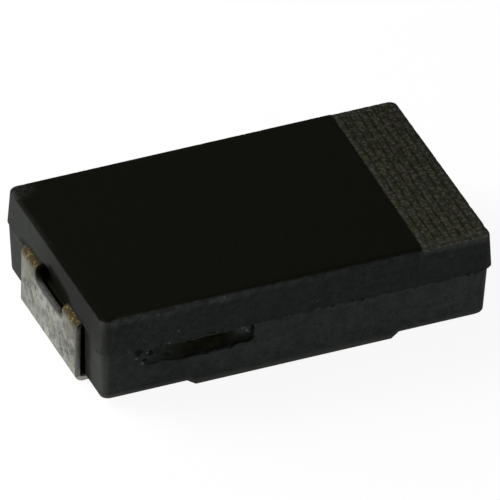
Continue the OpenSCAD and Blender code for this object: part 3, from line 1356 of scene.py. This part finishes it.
@dataclass(frozen=True)
class TinFinish:
    """Dull mottled tin on a copper alloy strip, rubbed bare on the fold and sheared at its edges."""

    tin: Colour = (0.134, 0.136, 0.118)
    stain: Colour = (0.07, 0.067, 0.052)
    bare: Colour = (0.024, 0.0171, 0.0027)
    spark: Colour = (0.16, 0.124, 0.042)
    burnish: Colour = (0.15, 0.142, 0.127)
    # Painted shade for the rounded rim below the window.
    rim: Colour = (0.024, 0.023, 0.02)
    ledge: Colour = (0.09, 0.088, 0.079)
    core: Colour = (0.012, 0.011, 0.004)
    metallic: float = 0.85
    relief: float = 0.008
    fine: float = 0.05
    mottle: float = 0.16
    cloud: float = 0.5
    granule: float = 0.06

    def material(self, leads: FoldedLeads) -> bpy.types.Material:
        """Makes the strip's material.

        Args:
            leads: The leads, for the places of the fold, the sides and the window.

        Returns:
            The material.
        """
        graph = Graph(bpy.data.materials.new("tin_plate"))
        fine = graph.grain(self.fine, 3)
        mottle = graph.grain(self.mottle, 3)
        from_outside = leads.outer_x - abs(graph.x)
        level = 1 + 2.9 * (mottle - 0.5) + 1.8 * (fine - 0.5) + 1.2 * (graph.grain(self.cloud) - 0.5)
        lit = 0.6 * graph.z.ramp(0.45, 0.15) * graph.y.ramp(0.9, -0.3) + 0.16 * graph.z.ramp(0.5, 0.65)
        level = level.larger(0.25) * (1 + lit)
        tin = graph.tint(self.tin, level)
        tin = graph.blend(mottle.ramp(0.55, 0.72) * 0.4, tin, self.stain)
        beside = abs(graph.y).ramp(leads.window_w / 2 - 0.05, leads.window_w / 2 + 0.1)
        lowered = graph.z + 0.1 * graph.y.ramp(-0.5, 0.5) + 0.15 * (mottle - 0.5)
        shoulder = beside * lowered.ramp(leads.top - 0.52, leads.top - 0.32)
        tin = graph.blend(0.48 * shoulder, tin, self.stain)
        granules = graph.specks(self.granule).ramp(0.6, 0.1) * fine.ramp(0.4, 0.6)
        copper = graph.blend(granules, self.bare, self.spark)
        rubbed = (graph.z + 0.12 * (mottle - 0.5)).ramp(leads.parting - 0.12, leads.parting + 0.04)
        colour = graph.blend(rubbed, tin, copper)
        bright = (from_outside - 0.03 * (fine - 0.5)).ramp(0.12, 0.06)
        # Painted light on the foot's cut sides, which lie in the floor's shade.
        foot = graph.z.ramp(leads.strip_t + 0.02, leads.strip_t)
        bright = (bright * (1 - 0.85 * rubbed)).larger(foot)
        edge = graph.blend(bright, self.core, graph.tint(self.burnish, (0.5 + fine) * (1 + foot)))
        outside = from_outside.ramp(0.012, 0.005) * (1 - rubbed)
        edge = graph.blend(outside, edge, graph.tint(self.stain, 0.8 + fine))
        sides = (leads.width / 2 - abs(graph.y)).ramp(0.08, 0.004)
        colour = graph.blend(sides, colour, edge)
        return graph.surface({
            "Base Color": self.window(graph, leads, colour, fine, from_outside),
            "Metallic": self.metallic,
            "Roughness": 0.45 + 0.2 * fine + 0.25 * rubbed,
            "Normal": graph.bump(mottle + 0.4 * fine, self.relief),
        })

    def window(self, graph: Graph, leads: FoldedLeads, colour: Sock, fine: Sock, depth: Sock) -> Sock:
        """Gives the strip's colour with painted shade along the window's rim, and the window's cut
        faces.

        Args:
            graph: The strip's graph.
            leads: The leads.
            colour: Colour of the strip.
            fine: Fine noise.
            depth: Distance from the strip's outer face.

        Returns:
            The colour.
        """
        corner_z = leads.parting - leads.window_drop + leads.window_r
        over_y = (abs(graph.y) - leads.window_w / 2 + leads.window_r).larger(0)
        over_z = (corner_z - graph.z).larger(0)
        reach = over_y * over_y + over_z * over_z
        cut = reach.ramp((leads.window_r + 0.008) ** 2, (leads.window_r + 0.003) ** 2)
        below = graph.z.ramp(leads.parting, leads.parting - 0.1)
        # Painted shade along the rounded rim below the window.
        rim = below * reach.ramp((leads.window_r + 0.11) ** 2, (leads.window_r + 0.02) ** 2)
        colour = graph.blend(0.95 * rim, colour, self.rim)
        middle = graph.y.ramp(-0.43 * leads.window_w, -0.25 * leads.window_w)
        middle = middle * graph.y.ramp(leads.window_w / 2, leads.window_w / 3)
        ledge = graph.blend(middle, self.core, graph.tint(self.ledge, 0.5 + fine))
        return graph.blend(cut * depth.ramp(0.006, 0.012), colour, ledge)


@dataclass(frozen=True)
class FoilFinish:
    """Silver-painted polymer plate with a bare etched foil tab."""

    paint: Colour = (0.5, 0.49, 0.46)
    foil: Colour = (0.62, 0.62, 0.61)
    relief: float = 0.006

    def material(self, plate_end: float) -> bpy.types.Material:
        """Makes the elements' material.

        Args:
            plate_end: Where the coated plate ends and the bare tab begins.

        Returns:
            The material.
        """
        graph = Graph(bpy.data.materials.new("coated_foil"))
        fine = graph.grain(0.04, 3)
        brushed = graph.grain(0.1, 2, (0.2, 1, 1))
        tab = graph.x.ramp(plate_end - 0.02, plate_end + 0.02)
        paint = graph.tint(self.paint, 0.75 + 0.5 * fine)
        foil = graph.tint(self.foil, 0.8 + 0.4 * brushed)
        return graph.surface({
            "Base Color": graph.blend(tab, paint, foil),
            "Metallic": 0.25 + 0.7 * tab,
            "Roughness": 0.7 - 0.25 * tab,
            "Normal": graph.bump(fine, self.relief),
        })


@dataclass(frozen=True)
class FloorFinish:
    """Plain white floor that shows white to the eye and keeps the object's shadow."""

    white: Colour = (0.92, 0.92, 0.92)
    shadow: float = 0.08
    glow: float = 1.0

    def material(self) -> bpy.types.Material:
        """Makes the floor's material.

        Returns:
            The material.
        """
        graph = Graph(bpy.data.materials.new("floor"))
        matt = graph.node("ShaderNodeBsdfDiffuse", {}, {"Color": self.white})
        glow = graph.node("ShaderNodeEmission", {}, {"Strength": self.glow})
        share = graph.seen() * (1 - self.shadow)
        return graph.output(graph.node("ShaderNodeMixShader", {}, {0: share, 1: matt, 2: glow}))


@dataclass
class Studio:
    """Camera, lights and floor."""

    azimuth: float = -23.1571
    elevation: float = 35.5578
    roll: float = 1.037
    scale: float = 59.262
    shift_x: float = -1.1702
    shift_y: float = 2.9761
    distance: float = 360.0
    frame_px: float = 500.0
    sensor: float = 36.0
    aim_z: float = 0.9
    key_from: tuple[float, float, float] = (-0.79, 0.61, 0.5)
    key_power: float = 0.135
    fill_from: tuple[float, float, float] = (0.2, -1.0, 0.25)
    fill_power: float = 0.014
    lamp_distance: float = 80.0
    lamp_size: float = 60.0
    room: Colour = (1.0, 1.0, 1.0)
    room_light: float = 0.2
    floor_size: float = 160.0

    def camera(self) -> None:
        """Places the camera at the photograph's viewing angle."""
        turn = math.radians(self.azimuth)
        rise = math.radians(self.elevation)
        reach = math.cos(rise)
        back = Vector((math.sin(turn) * reach, -math.cos(turn) * reach, math.sin(rise)))
        level = Vector((math.cos(turn), math.sin(turn), 0))
        roll = Matrix.Rotation(math.radians(self.roll), 3, back)
        right = roll @ level
        up = back.cross(right)
        eye = Vector((0, 0, self.aim_z)) + back * self.distance
        eye += (up * self.shift_y - right * self.shift_x) / self.scale
        lens = bpy.data.cameras.new("camera")
        lens.sensor_width = self.sensor
        lens.lens = self.sensor * self.scale * self.distance / self.frame_px
        camera = bpy.data.objects.new("camera", lens)
        bpy.context.scene.collection.objects.link(camera)
        aim = Matrix((right, up, back)).transposed().to_4x4()
        camera.matrix_world = Matrix.Translation(eye * MM) @ aim
        bpy.context.scene.camera = camera

    def lamp(self, name: str, toward: Vector, power: float) -> None:
        """Hangs a large soft light.

        Args:
            name: Name of the light.
            toward: Direction from the part to the light.
            power: Power of the light, in watts.
        """
        direction = toward.normalized()
        lamp = bpy.data.lights.new(name, "AREA")
        lamp.shape = "SQUARE"
        lamp.size = self.lamp_size * MM
        lamp.energy = power
        light = bpy.data.objects.new(name, lamp)
        bpy.context.scene.collection.objects.link(light)
        light.location = direction * self.lamp_distance * MM
        light.rotation_mode = "QUATERNION"
        light.rotation_quaternion = direction.to_track_quat("Z", "Y")

    def world(self) -> None:
        """Fills the room with even light, and shows white to the eye."""
        graph = Graph(bpy.data.worlds.new("room"))
        light = self.room_light + (1 - self.room_light) * graph.seen()
        room = graph.node("ShaderNodeBackground", {}, {"Color": self.room, "Strength": light})
        bpy.context.scene.world = graph.output(room)

    def floor(self) -> None:
        """Lays the floor under the part."""
        bpy.ops.object.select_all(action="DESELECT")
        bpy.ops.mesh.primitive_plane_add(size=self.floor_size * MM)
        floor = bpy.context.object
        floor.name = "floor"
        floor.data.materials.append(FloorFinish().material())

    def build(self) -> None:
        """Sets up the whole studio."""
        bpy.context.scene.view_settings.view_transform = "Standard"
        self.camera()
        self.lamp("key", Vector(self.key_from), self.key_power)
        self.lamp("fill", Vector(self.fill_from), self.fill_power)
        self.world()
        self.floor()


def dress_elements() -> None:
    """Gives the foil elements inside the case their finish."""
    nodes = element_nodes()
    plate_end = box_mm(nodes[0][0])[1].x - ELEMENT_TAB
    finish = FoilFinish().material(plate_end)
    for name, node in nodes:
        node.data.materials.clear()
        node.data.materials.append(finish)
        LOG.info("%s: CAD node with the foil finish", name)


def main() -> None:
    """Builds and dresses the object, piece by piece."""
    logging.basicConfig(level=logging.INFO, format="%(message)s")
    leads = FoldedLeads()
    case = ResinCase(parting=leads.parting)
    strips = leads.build(case.length / 2)
    elements = [Workpiece.copy_of(node, name + "_tool", 1 / MM) for name, node in element_nodes()]
    body = case.build(leads, [*strips.values(), *elements])
    for tool in elements:
        bpy.data.objects.remove(tool.body)
    tin = TinFinish().material(leads)
    for node, strip in strips.items():
        strip.finish(tin, Slot.TIN, node, math.radians(leads.smooth))
    resin = ResinFinish().material(case, leads)
    body.finish(resin, Slot.RESIN, "moulded_case", math.radians(case.smooth))
    dress_elements()
    Studio().build()


if __name__ == "__main__":
    main()
